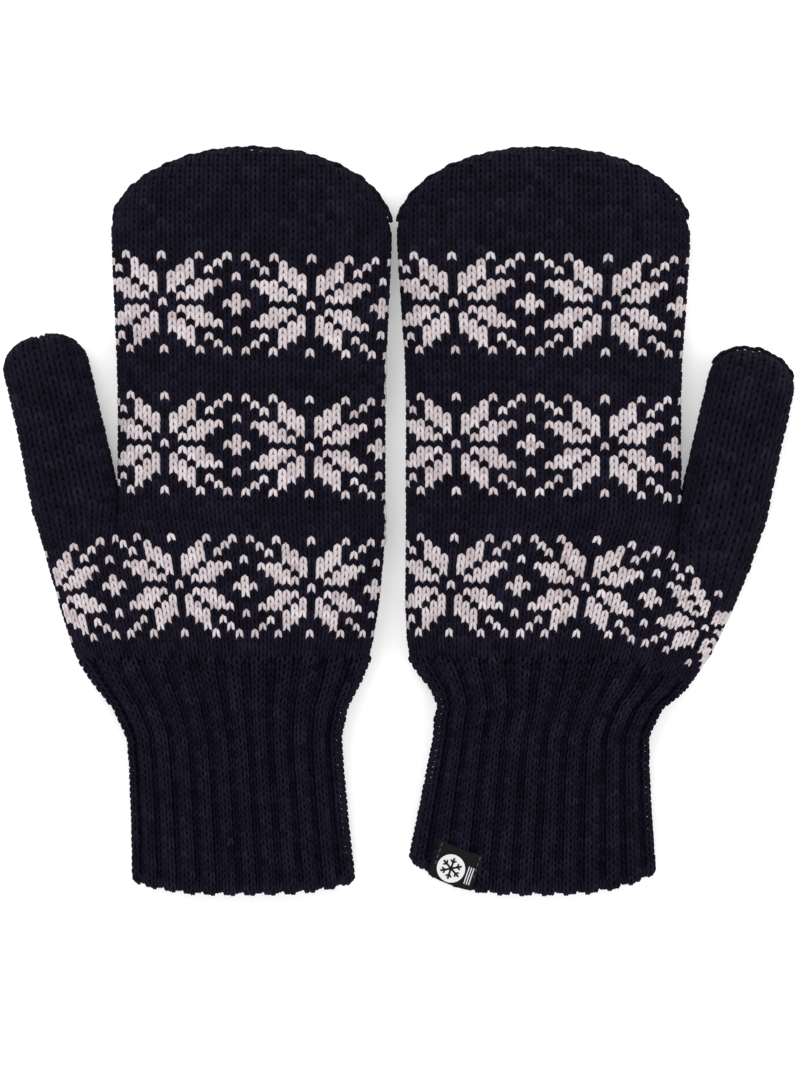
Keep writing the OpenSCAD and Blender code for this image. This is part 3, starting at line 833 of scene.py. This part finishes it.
def knit_row(mitten, pieces, loop, row, start, end, band_row=None, key="", margin=0):
    """Adds one row of stitches from column start to end to the pieces of its colour and side."""
    cells = np.arange(start, end)
    columns = cells + 0.5
    keep = np.ones(len(cells), bool)
    for low, high in missing_columns(loop(row)[0]):
        keep &= ~((columns > low - margin) & (columns < high + margin))
    cells, columns = cells[keep], columns[keep]
    if not len(cells):
        return
    place, course, wale = stitch_frames(mitten, loop, row, columns)
    back = cells >= HAND_COLUMNS
    pale = np.zeros(len(cells), bool)
    if band_row is not None:
        # the chart runs from -X to +X over the front of each mitten, and back again below
        pale = is_pale(band_row, cells if mitten.out < 0 else HAND_COLUMNS - 1 - cells)
    groups = ((~pale & ~back, key + "front"), (~pale & back, key + "back"), (pale, key + "pale"))
    for chosen, name in groups:
        if chosen.any():
            piece = pieces.setdefault(name, Stitches())
            piece.add(place[chosen], course[chosen], wale[chosen])


def missing_columns(columns):
    """Runs of columns that a narrowing row no longer has."""
    jumps = np.where(np.diff(columns) > 0.35)[0]
    gaps = [(columns[k], columns[k + 1]) for k in jumps]
    return gaps + [(-math.inf, columns[0] - 0.01), (columns[-1] + 0.01, math.inf)]


def flatness(course, wale):
    """1 where the fabric lies flat, falling to 0 where it turns round the mitten's sides."""
    return np.clip(np.abs(unit(np.cross(course, wale))[:, 2:]) * 1.5, 0, 1)


def lining(name, mitten, loop, rows, columns, is_pocket, depths):
    """The fabric behind the stitches: a thin closed wall between two depths."""
    rings = []
    for depth, shallow, order in ((depths[0], LINING_DEPTH, rows), (depths[1], WALL, rows[::-1])):
        for row in order:
            place, course, wale = stitch_frames(mitten, loop, row, columns)
            normal = unit(np.cross(course, wale))
            rings.append(place - normal * (shallow + (depth - shallow) * flatness(course, wale)))
    count = len(columns)
    total = len(rings)
    faces = []
    for k in range(total):
        if is_pocket and k == len(rows) - 1:
            continue
        a, b = k * count, (k + 1) % total * count
        for i in range(count):
            j = (i + 1) % count
            faces.append((a + i, a + j, b + j, b + i))
    if is_pocket:
        faces += strip_cap((len(rows) - 1) * count, count, False)
        faces += strip_cap(len(rows) * count, count, True)
    return new_solid(name, np.concatenate(rings).tolist(), faces, INSIDE, smooth=True)


def strip_cap(start, count, flip):
    """Closes a flattened ring with a strip from its front to its back."""
    faces = []
    for i in range(count // 2 - 1):
        quad = (start + i, start + i + 1, start + count - 2 - i, start + count - 1 - i)
        faces.append(quad if flip else quad[::-1])
    return faces


def tube(name, path, radius, material, sides=6):
    """A round strand along points, closed at both ends."""
    path = np.asarray(path)
    ahead = unit(np.gradient(path, axis=0))
    side = unit(np.cross(ahead, [0, 0, 1.0]))
    up = np.cross(side, ahead)
    angle = np.arange(sides) * 2 * math.pi / sides
    rings = [
        p + radius * (np.outer(np.cos(angle), s) + np.outer(np.sin(angle), u))
        for p, s, u in zip(path, side, up)
    ]
    faces = [tuple(range(sides))[::-1]]
    last = (len(path) - 1) * sides
    for a in range(0, last, sides):
        for i in range(sides):
            j = (i + 1) % sides
            faces.append((a + i, a + j, a + sides + j, a + sides + i))
    faces.append(tuple(last + i for i in range(sides)))
    return new_solid(name, np.concatenate(rings).tolist(), faces, material)


def middle_line(node, count=24):
    """The line through a slim CAD solid that runs along the mitten."""
    points = mesh_edges(node).reshape(-1, 3)
    order = np.argsort(points[:, 1])
    return np.array([group.mean(0) for group in np.array_split(points[order], count)])


def by_share(loop):
    """The same loop with its columns as shares of the way around, for a closed wall."""

    def shared(row):
        points = loop(row)[1]
        keep = np.concatenate([[True], np.linalg.norm(np.diff(points, axis=0), axis=1) > 1e-9])
        points = points[keep]
        walk = lengths(np.concatenate([points, points[:1]]))
        shares = walk[:-1] / walk[-1]
        return np.concatenate([shares - 1, shares, shares + 1]), np.concatenate([points] * 3)

    return shared


def knit_hand(mitten, pieces):
    """The palm with the thumb's columns in it, the fingers and the thumb."""
    palm_end = HAND_ROUND + THUMB_COLUMNS
    for row in range(PALM_ROWS):
        band = row - YOKE_ROWS if YOKE_ROWS <= row < YOKE_ROWS + BAND_ROWS else None
        knit_row(mitten, pieces, mitten.palm_loop, row + 0.5, -THUMB_COLUMNS, palm_end, band, "palm_")
    # the middle band starts at the crotch
    for row in range(TUBE_ROWS + TIP_ROWS):
        band, key = None, "finger_"
        if row < BAND_ROWS:
            band, key = row, "middle_"
        elif BAND_ROWS + PLAIN_ROWS <= row < TUBE_ROWS:
            band, key = row - BAND_ROWS - PLAIN_ROWS, "upper_"
        found = {}
        margin = 0.25 if row > TUBE_ROWS else 0
        knit_row(mitten, found, mitten.finger_loop, row + 0.5, 0, HAND_ROUND, band, margin=margin)
        for name, part in found.items():
            whole = key + "pale" if name == "pale" else "finger_" + name
            pieces.setdefault(whole, Stitches()).rows += part.rows
    for row in range(THUMB_ROWS):
        margin = 0.25 if row > THUMB_TUBE_ROWS else 0
        for start in (-THUMB_COLUMNS, HAND_ROUND):
            end = start + THUMB_COLUMNS
            knit_row(mitten, pieces, mitten.thumb_loop, row + 0.5, start, end, None, "thumb_", margin)


def knit_cuff(mitten, pieces):
    """Two knit columns on every ridge and one purl column in every groove, and the hem's loops."""
    # place in the rib, depth in mm, roll and width
    ridge_and_groove = (
        (RIDGE - 0.13, RIDGE_DEPTH, -0.5, 0.3),
        (RIDGE + 0.13, RIDGE_DEPTH, 0.5, 0.3),
        (RIDGE + 0.5, GROOVE_DEPTH, 0, 0.36),
    )
    for row in range(RIB_ROWS):
        for name, low in (("cuff_front", 0), ("cuff_back", RIBS)):
            ribs = np.arange(low, low + RIBS)
            part = pieces.setdefault(name, Stitches())
            for at, depth, roll, wide in ridge_and_groove:
                place, course, wale = stitch_frames(mitten, mitten.cuff_loop, row + 0.5, ribs + at, 0.2)
                if depth == GROOVE_DEPTH:
                    depth = EDGE_GROOVE + (depth - EDGE_GROOVE) * flatness(course, wale)
                part.add(place, course * wide, wale, depth * MM, roll=-roll * mitten.out)
    hem = pieces.setdefault("hem", Stitches())
    ribs = np.arange(0, 2 * RIBS)
    # place in the rib, depth in mm and row of five loops to a rib
    hem_loops = ((-0.2, 1.0, 0.45), (0.14, 1.0, 0.38), (0.47, 1.5, 0.5), (-0.03, 2.0, 0.55), (0.3, 2.1, 0.52))
    for at, depth, row in hem_loops:
        columns = ribs + RIDGE + at
        place, course, wale = stitch_frames(mitten, mitten.cuff_loop, row, columns, 0.2)
        hem.add(place, course * 0.3, wale, depth * MM, 1.05, turn=math.pi)


def rounded_line(outline, dome, middle, degrees, base, across, along):
    """A line around a rounded end, between two angles, just above the tube's side."""
    start = outline.high - dome
    low, high, top = outline.at(start)
    side_height = 8 * MM
    line = []
    for angle in np.radians(np.linspace(*degrees, 400)):
        w = middle + ((high - low) / 2 - 0.9 * MM) * math.cos(angle)
        d = start + (dome - 0.5 * MM) * math.sin(angle)
        point = base + w * across + d * along
        thick = side_height + (top - side_height) * abs(math.cos(angle))
        point[2] = EDGE_HEIGHT * thick + 0.6 * MM
        line.append(point)
    return np.array(line)


def seam_chain(mitten, line, step, size):
    """Linked loops along a line, a little uneven."""
    up = np.array([0, 0, 1.0])
    walk = lengths(line)
    spots = np.arange(step / 2, walk[-1], step)
    place, beyond = (
        np.stack([np.interp(at, walk, line[:, k]) for k in range(3)], 1) for at in (spots, spots + 0.1 * MM)
    )
    ahead = unit(beyond - place)
    outward = -unit(np.cross(ahead, up))
    wander = 0.1 + 0.28 * np.sin(2.3 * np.arange(len(spots)))
    place = place + outward * wander[:, None] * MM
    face = mitten.turned(unit(outward * 0.55 + up))
    ahead = mitten.turned(ahead)
    course = unit(np.cross(ahead, face)) * COLUMN_PITCH * size
    chain = Stitches()
    chain.add(mitten.world(place), course, ahead * ROW_PITCH * size, 0)
    return chain


def carried_strand(mitten, loop, low_row, high_row):
    """The pale yarn's way up the little finger's edge between two bands."""
    strand = []
    for k, row in enumerate(np.linspace(low_row, high_row, 14)):
        column = HAND_COLUMNS - 0.35 + 0.3 * math.sin(k * 1.1)
        place, course, wale = stitch_frames(mitten, loop, row, np.array([column]))
        lift = (0.15 + 0.2 * math.sin(k * 0.9)) * MM
        strand.append((place + unit(np.cross(course, wale)) * lift)[0])
    return strand


def build(mitten):
    side = mitten.side
    palm, fingers, thumb, cuff = (f"{side}_{part}_body" for part in ("palm", "finger", "thumb", "cuff"))
    pieces = {}
    knit_hand(mitten, pieces)
    knit_cuff(mitten, pieces)
    x_axis, y_axis = np.array([1.0, 0, 0]), np.array([0, 1.0, 0])
    tip = rounded_line(mitten.hand, TIP_DOME, 0, (172, 8), np.zeros(3), x_axis, y_axis)
    pieces["tip_seam"] = seam_chain(mitten, tip, 3.0 * MM, 1.25)
    thumb_low, thumb_high, _ = mitten.thumb.at(mitten.thumb_dome_low)
    middle = (thumb_high + thumb_low) / 2
    tip = rounded_line(mitten.thumb, THUMB_DOME, middle, (165, 15), mitten.base, mitten.across, mitten.along)
    pieces["thumb_seam"] = seam_chain(mitten, tip, 2.9 * MM, 1.15)

    def spot(y):
        return (mitten.origin[0], mitten.origin[1] + y, HINGE_HEIGHT)

    root = mitten.world(np.array([mitten.base]))[0]
    way = mitten.turned(np.array([mitten.along]))[0]
    finger_bend = (palm, fingers, spot(mitten.crotch - 1 * MM), spot(mitten.crotch + FINGER_BEND))
    cuff_bend = (palm, cuff, spot(mitten.rib_top + 0.5 * MM), spot(mitten.rib_top - CUFF_BEND))
    thumb_bend = (palm, thumb, tuple(root - way * 0.5 * MM), tuple(root + way * THUMB_BEND))

    def carry(piece, motion, slot, nodes=()):
        if isinstance(motion, str):
            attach(piece, motion)
        else:
            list(motion)
            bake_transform(piece)
        if nodes:
            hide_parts(*[f"{side}_{n}" for n in nodes])

    plan = {
        "finger_front": ("knit_fingers_front", NAVY, "main_knit", finger_bend, ["fingers"]),
        "finger_back": ("knit_fingers_back", NAVY, "main_knit", finger_bend, []),
        "middle_pale": ("flowers_middle", CREAM, "contrast_yarn", finger_bend, ["yarn_middle"]),
        "upper_pale": ("flowers_upper", CREAM, "contrast_yarn", fingers, ["yarn_upper"]),
        "palm_front": ("knit_palm_front", NAVY, "main_knit", palm, ["palm"]),
        "palm_back": ("knit_palm_back", NAVY, "main_knit", palm, []),
        "palm_pale": ("flowers_lower", CREAM, "contrast_yarn", palm, ["yarn_lower"]),
        "thumb_front": ("knit_thumb_front", NAVY, "main_knit", thumb_bend, ["thumb"]),
        "thumb_back": ("knit_thumb_back", NAVY, "main_knit", thumb_bend, []),
        "cuff_front": ("rib_cuff_front", RIB_NAVY, "rib_knit", cuff_bend, ["cuff"]),
        "cuff_back": ("rib_cuff_back", RIB_NAVY, "rib_knit", cuff_bend, []),
        "hem": ("rib_hem", RIB_NAVY, "seam_yarn", cuff, ["cuff_hem"]),
        "tip_seam": ("linked_tip", NAVY, "seam_yarn", fingers, ["tip_seam"]),
        "thumb_seam": ("linked_thumb_tip", NAVY, "seam_yarn", thumb, ["thumb_tip_seam"]),
    }
    for key, (name, yarn, slot, motion, nodes) in plan.items():
        sizes = RIB_STITCH if key.startswith("cuff") else None
        carry(make_stitches(f"{side}_{name}", pieces[key], yarn, sizes), motion, slot, nodes)

    # the inside: rows, closer together in a rounded end, and columns around
    finger_rows = np.concatenate([np.linspace(0, 47, 40), np.linspace(47.6, 52.5, 9)])
    palm_rows = np.linspace(0.02, PALM_ROWS - 0.02, 26)
    thumb_rows = np.concatenate([np.linspace(0, 18, 18), np.linspace(18.5, 22.6, 7)])
    cuff_rows = np.linspace(-0.2, RIB_ROWS, 38)
    for part, loop, rows, around, motion, slot in (
        ("fingers", mitten.finger_loop, finger_rows, 72, finger_bend, "main_knit"),
        ("palm", mitten.palm_loop, palm_rows, 84, palm, "main_knit"),
        ("thumb", mitten.thumb_loop, thumb_rows, 36, thumb_bend, "main_knit"),
        ("cuff", mitten.cuff_loop, cuff_rows, 12 * RIBS, cuff_bend, "rib_knit"),
    ):
        depths = (CUFF_LINING_DEPTH, CUFF_WALL) if part == "cuff" else (LINING_DEPTH, WALL)
        shares = np.linspace(0, 1, around, endpoint=False)
        is_pocket = part in ("fingers", "thumb")
        wall = lining(f"{side}_inside_{part}", mitten, by_share(loop), rows, shares, is_pocket, depths)
        carry(wall, motion, slot)
    for part, motion in (("finger", finger_bend), ("palm", palm), ("cuff", cuff_bend)):
        node = part + "_side_seam"
        strand = tube(f"{side}_{node}_strand", middle_line(f"{side}_{node}"), 0.9 * MM, NAVY)
        carry(strand, motion, "seam_yarn", [node])
    if side == "left":
        upper = carried_strand(mitten, mitten.finger_loop, BAND_ROWS - 0.5, BAND_ROWS + PLAIN_ROWS + 0.5)
        lower = carried_strand(mitten, mitten.palm_loop, PALM_ROWS - PLAIN_ROWS - 0.5, PALM_ROWS - 0.3)
        for name, strand, motion in (("upper", upper, finger_bend), ("lower", lower, palm)):
            carry(tube(f"{side}_carried_yarn_{name}", strand, 0.62 * MM, CREAM), motion, "contrast_yarn")
    # the picked-up edge inside the thumb's base
    edge = Stitches()
    shares = np.linspace(0, 1, 24, endpoint=False)
    place, course, wale = stitch_frames(mitten, by_share(mitten.thumb_loop), 0.9, shares, 0.01)
    edge.add(place, unit(course) * COLUMN_PITCH * 0.8, unit(wale) * ROW_PITCH * 0.8, 3.6 * MM, 0.8)
    carry(make_stitches(side + "_picked_up_edge", edge, NAVY), thumb_bend, "seam_yarn", ["thumb_join"])


for mitten in (Mitten("left"), Mitten("right")):
    build(mitten)

# ---- Label ----

for node, material in (("right_label", TAPE), ("right_label_stitches", THREAD)):
    cad_label = frame["nodes"][node]
    for slot in cad_label.material_slots:
        slot.material = material
    if not cad_label.material_slots:
        cad_label.data.materials.append(material)


def on_label(name, outlines, material, lift):
    """Flat shapes embroidered on the label's outer leaf, given across and up it, in metres."""
    label = frame["nodes"]["right_label"]
    tree = BVHTree.FromObject(label, bpy.context.evaluated_depsgraph_get())
    # measured from the leaf's lower corner on the little finger's side
    corners = mesh_edges("right_label").reshape(-1, 3)
    across = np.array([math.cos(LABEL_TILT), -math.sin(LABEL_TILT), 0])
    up = np.array([math.sin(LABEL_TILT), math.cos(LABEL_TILT), 0])
    left, low = (corners @ across).min(), (corners @ up).min()
    verts, faces = [], []
    for points, shape_faces in outlines:
        start, count = len(verts), len(points)
        for height in (lift, 0.02 * MM):
            for u, v in points:
                flat = (left + u) * across + (low + v) * up
                hit = tree.ray_cast(Vector((flat[0], flat[1], 0.1)), Vector((0, 0, -1)))[0]
                z = hit.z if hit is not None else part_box("right_label")[1].z
                verts.append((flat[0], flat[1], z + height))
        rim = {}
        for face in shape_faces:
            faces.append(tuple(start + i for i in face))
            faces.append(tuple(start + count + i for i in face[::-1]))
            for edge in zip(face, face[1:] + face[:1]):
                rim[edge] = True
        for i, j in rim:
            if (j, i) not in rim:
                faces.append((start + j, start + i, start + count + i, start + count + j))
    piece = new_solid(name, verts, faces, material)
    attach(piece, "right_cuff_body")


def disc(centre, radius, rings=5, sides=28):
    points, faces = [tuple(centre)], []
    for ring in range(1, rings + 1):
        for angle in 2 * math.pi * np.arange(sides) / sides:
            way = np.array([math.cos(angle), math.sin(angle)])
            points.append(tuple(centre + radius * ring / rings * way))
    for k in range(sides):
        faces.append((0, 1 + k, 1 + (k + 1) % sides))
    for ring in range(rings - 1):
        a, b = 1 + ring * sides, 1 + (ring + 1) * sides
        for k in range(sides):
            j = (k + 1) % sides
            faces.append((a + k, b + k, b + j, a + j))
    return points, faces


def bar(start, end, width, steps=6):
    a, b = np.array(start), np.array(end)
    side = np.array([a[1] - b[1], b[0] - a[0]])
    side = side / np.linalg.norm(side) * width / 2
    points = []
    for k in range(steps + 1):
        middle = a + (b - a) * k / steps
        points += [tuple(middle - side), tuple(middle + side)]
    faces = [(i, i + 2, i + 3, i + 1) for i in range(0, 2 * steps, 2)]
    return points, faces


def snowflake(centre, radius, width):
    """A plain six-armed flake, with two small branches on each arm."""
    shapes = []
    for k in range(6):
        angle = math.radians(60 * k + 30)
        way = np.array([math.cos(angle), math.sin(angle)])
        shapes.append(bar(centre, centre + way * radius, width))
        root = centre + way * radius * 0.55
        for turn in (-1, 1):
            branch = angle + turn * math.radians(50)
            way_out = np.array([math.cos(branch), math.sin(branch)])
            shapes.append(bar(root, root + radius * 0.36 * way_out, width * 0.8, 3))
    return shapes


MARK_CENTRE = np.array([7.2, 5.9]) * MM
BARS = [bar((x * MM, 2.2 * MM), (x * MM, 8.8 * MM), 0.35 * MM) for x in (13.5, 14.4, 15.3)]
on_label("right_label_mark", [disc(MARK_CENTRE, 5.3 * MM)], MARK, 0.1 * MM)
on_label("right_label_flake", snowflake(MARK_CENTRE, 4.1 * MM, 0.75 * MM), TAPE, 0.18 * MM)
on_label("right_label_bars", BARS, MARK, 0.1 * MM)

# ---- Stage, camera and light ----

FLOOR_HALF = 3
FLOOR_HEIGHT = -0.4 * MM
corners = [(x * FLOOR_HALF, y * FLOOR_HALF, FLOOR_HEIGHT) for x, y in ((-1, -1), (1, -1), (1, 1), (-1, 1))]
floor_mesh = bpy.data.meshes.new("floor")
floor_mesh.from_pydata(corners, [], [(0, 1, 2, 3)])
floor = new_piece("floor", floor_mesh)
# a little glow lightens the mittens' shadows
floor_look = {
    "Base Color": (0.93, 0.93, 0.93, 1),
    "Roughness": 0.9,
    "Emission Color": (1, 1, 1, 1),
    "Emission Strength": 0.22,
}
floor_mesh.materials.append(new_material("pale floor", floor_look)[0])

camera_data = bpy.data.cameras.new("camera")
camera_data.lens = 144
camera_data.clip_end = 20
camera = new_piece("camera", camera_data)
camera.location = (0.0004, -0.0062, 1.615)
bpy.context.scene.camera = camera


def soft_light(name, place, size, power):
    data = bpy.data.lights.new(name, "AREA")
    data.shape = "DISK"
    data.size = size
    data.energy = power
    lamp = new_piece(name, data)
    lamp.location = place
    lamp.rotation_euler = (-Vector(place)).to_track_quat("-Z", "Y").to_euler()


soft_light("key", (-0.8, 1.0, 1.8), 1.4, 15)
soft_light("fill", (1.2, -0.6, 1.6), 1.4, 8)
world = bpy.data.worlds.new("studio")
world.use_nodes = True
backdrop = world.node_tree.nodes["Background"]
backdrop.inputs["Color"].default_value = (1, 1, 1, 1)
backdrop.inputs["Strength"].default_value = 1.1
bpy.context.scene.world = world
bpy.context.scene.view_settings.view_transform = "Standard"
